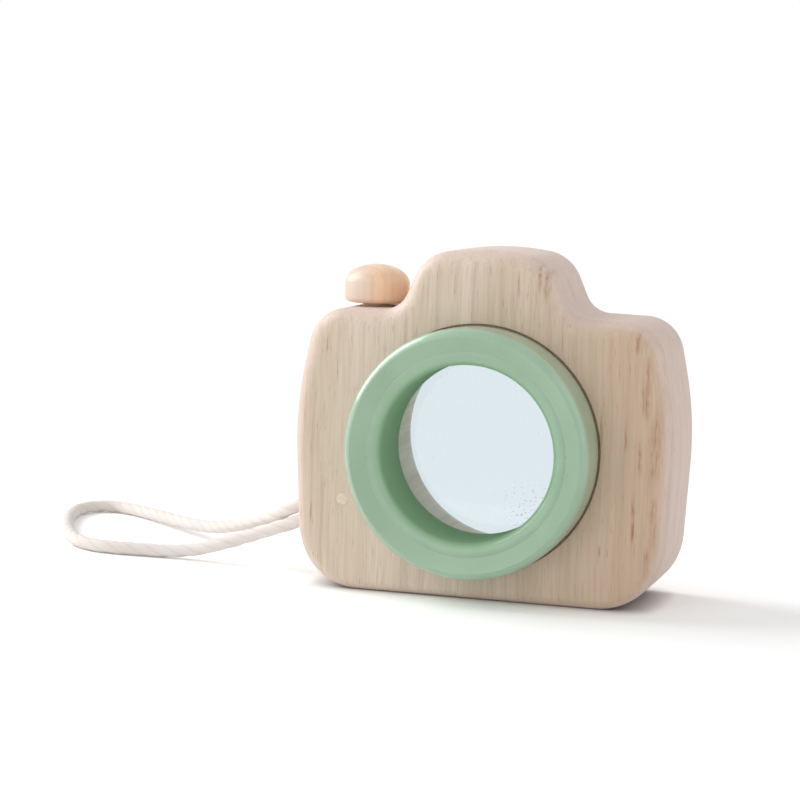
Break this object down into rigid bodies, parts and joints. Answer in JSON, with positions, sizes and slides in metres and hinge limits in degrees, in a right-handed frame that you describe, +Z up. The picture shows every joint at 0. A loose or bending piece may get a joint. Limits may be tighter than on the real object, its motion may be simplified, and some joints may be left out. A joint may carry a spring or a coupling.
{
  "type": "toy camera",
  "caption": "Wooden toy camera: a block with a hump, a turning painted lens ring with a clear disc, a sprung shutter button and a cotton wrist loop.",
  "frame": {"origin": "on the floor under the middle of the camera, half way from the lens ring's front to the block's back", "axes": "+X to the right seen from the front, +Y from the lens to the back, +Z up"},
  "size_m": [0.1833, 0.0948, 0.0835],
  "materials": {
    "block_wood": "sanded, unvarnished, upright grain",
    "turned_wood": "sanded, unvarnished",
    "button_wood": "sanded, unvarnished, a warmer wood",
    "mint_paint": "satin mint green paint on turned wood",
    "clear_disc": "clear acrylic, lightly scratched",
    "spring_wire": "drawn wire",
    "cotton_cord": "twisted cotton, natural cream"
  },
  "bodies": {
    "camera": {"body_block": "block_wood", "button_spring": "spring_wire", "button_pin": "turned_wood", "cord_pin": "turned_wood", "wrist_cord": "cotton_cord"},
    "lens": {"lens_ring": "mint_paint", "lens_sleeve": "turned_wood", "lens_disc": "clear_disc"},
    "button": {"button_cap": "button_wood", "button_stem": "turned_wood"}
  },
  "joints": [
    {"name": "lens_turn", "type": "hinge", "parent": "camera", "child": "lens", "pos_m": [0, -0.0092, 0.0362], "axis": [0, -1, 0], "continuous": true},
    {"name": "button_press", "type": "slide", "parent": "camera", "child": "button", "axis": [0, 0, -1], "range_m": [0, 0.0005], "stiffness_N_per_m": 300, "springref_m": -0.003, "deforming": ["button_spring"]}
  ]
}
